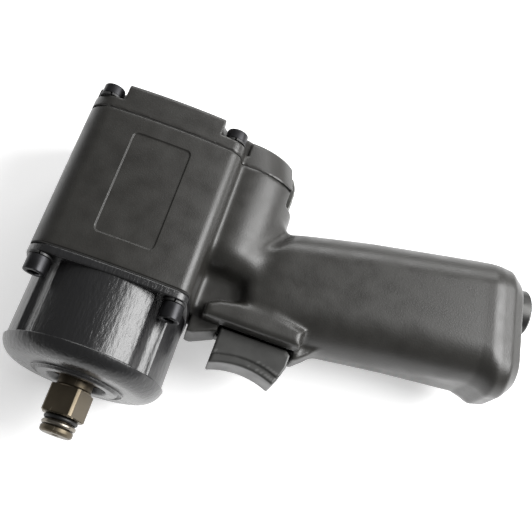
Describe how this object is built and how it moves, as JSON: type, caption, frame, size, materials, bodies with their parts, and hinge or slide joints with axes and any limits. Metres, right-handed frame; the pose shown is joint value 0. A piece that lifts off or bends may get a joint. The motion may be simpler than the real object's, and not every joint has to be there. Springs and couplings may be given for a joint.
{
  "type": "impact wrench",
  "caption": "Compact pistol-grip air impact wrench: square drive with twin hammers, vane motor, sliding trigger and throttle, reverse lever, air inlet and exhaust in the grip's base.",
  "frame": {"origin": "on the drive axis, at the shoulder where the square drive begins", "axes": "+X along the drive axis, out of the square; +Y down the grip, towards the air inlet; +Z out of the tool's left side, so the tool lies on its right side"},
  "size_m": [0.1291, 0.1941, 0.0622],
  "materials": {
    "housing_paint": "satin dark grey powder paint over cast aluminium",
    "case_paint": "semi-gloss black paint over cast aluminium",
    "gasket": "pressed fibre sheet with rubber binder",
    "black_oxide": "black oxide",
    "washer_steel": "black phosphate spring steel",
    "drive_steel": "oiled phosphate over forged steel",
    "rubber_black": "moulded, satin",
    "ring_steel": "drawn wire, bright",
    "bronze": "machined bronze",
    "hammer_steel": "machined and hardened",
    "ground_steel": "ground, bright",
    "vane_resin": "cotton-filled resin, sawn",
    "lever_metal": "die cast, satin",
    "spring_steel": "drawn spring wire",
    "trigger_plastic": "moulded, satin",
    "inlet_steel": "turned, dark phosphate",
    "screen_brass": "woven wire",
    "deflector_plastic": "moulded, matt",
    "felt": "pressed felt"
  },
  "bodies": {
    "housing": {"motor_housing": "housing_paint", "hammer_case": "case_paint", "rear_cover": "housing_paint", "front_gasket": "gasket", "rear_gasket": "gasket", "front_screws": "black_oxide", "front_lock_washers": "washer_steel", "rear_screws": "black_oxide", "rear_lock_washers": "washer_steel", "anvil_bushing": "bronze", "cylinder_liner": "ground_steel", "rear_end_plate": "ground_steel", "front_end_plate": "ground_steel", "rear_bearing": "ground_steel", "front_bearing": "ground_steel", "dowel_pin": "ground_steel", "detent_ball": "ground_steel", "detent_spring": "spring_steel", "throttle_bushing": "bronze", "throttle_spring": "spring_steel", "inlet_bushing": "inlet_steel", "inlet_o_ring": "rubber_black", "inlet_screen": "screen_brass", "exhaust_deflector": "deflector_plastic", "deflector_screws": "black_oxide", "exhaust_muffler": "felt"},
    "rotor": {"rotor": "ground_steel", "rotor_vanes": "vane_resin", "hammer_cage": "hammer_steel", "hammer_pins": "ground_steel"},
    "rear_hammer": {"rear_hammer": "hammer_steel"},
    "front_hammer": {"front_hammer": "hammer_steel"},
    "anvil": {"anvil": "drive_steel", "socket_o_ring": "rubber_black", "socket_retainer_ring": "ring_steel"},
    "reverse": {"reverse_valve": "ground_steel", "reverse_lever": "lever_metal", "lever_screw": "black_oxide"},
    "trigger": {"trigger": "trigger_plastic", "trigger_rod": "ground_steel", "trigger_pin": "ground_steel"},
    "throttle": {"throttle_valve": "bronze"}
  },
  "joints": [
    {"name": "rotor_spin", "type": "hinge", "parent": "housing", "child": "rotor", "pos_m": [-0.0766, 0, 0], "axis": [1, 0, 0], "continuous": true},
    {"name": "anvil_spin", "type": "hinge", "parent": "housing", "child": "anvil", "pos_m": [-0.0116, 0, 0], "axis": [1, 0, 0], "continuous": true},
    {"name": "rear_hammer_rock", "type": "hinge", "parent": "rotor", "child": "rear_hammer", "pos_m": [-0.0426, -0.0209, 0], "axis": [1, 0, 0], "range_deg": [-3, 3]},
    {"name": "front_hammer_rock", "type": "hinge", "parent": "rotor", "child": "front_hammer", "pos_m": [-0.0301, 0.0209, 0], "axis": [1, 0, 0], "range_deg": [-3, 3]},
    {"name": "reverse_turn", "type": "hinge", "parent": "housing", "child": "reverse", "pos_m": [-0.1016, 0.038, 0], "axis": [1, 0, 0], "range_deg": [-24, 24]},
    {"name": "trigger_slide", "type": "slide", "parent": "housing", "child": "trigger", "axis": [-1, 0, 0], "range_m": [0, 0.006], "stiffness_N_per_m": 900, "springref_m": -0.004},
    {"name": "throttle_slide", "type": "slide", "parent": "housing", "child": "throttle", "axis": [-1, 0, 0], "range_m": [0, 0.006], "deforming": ["throttle_spring"]}
  ],
  "couplings": [
    {"joint": "anvil_spin", "follows": "rotor_spin", "ratio": 1},
    {"joint": "throttle_slide", "follows": "trigger_slide", "ratio": 1}
  ]
}
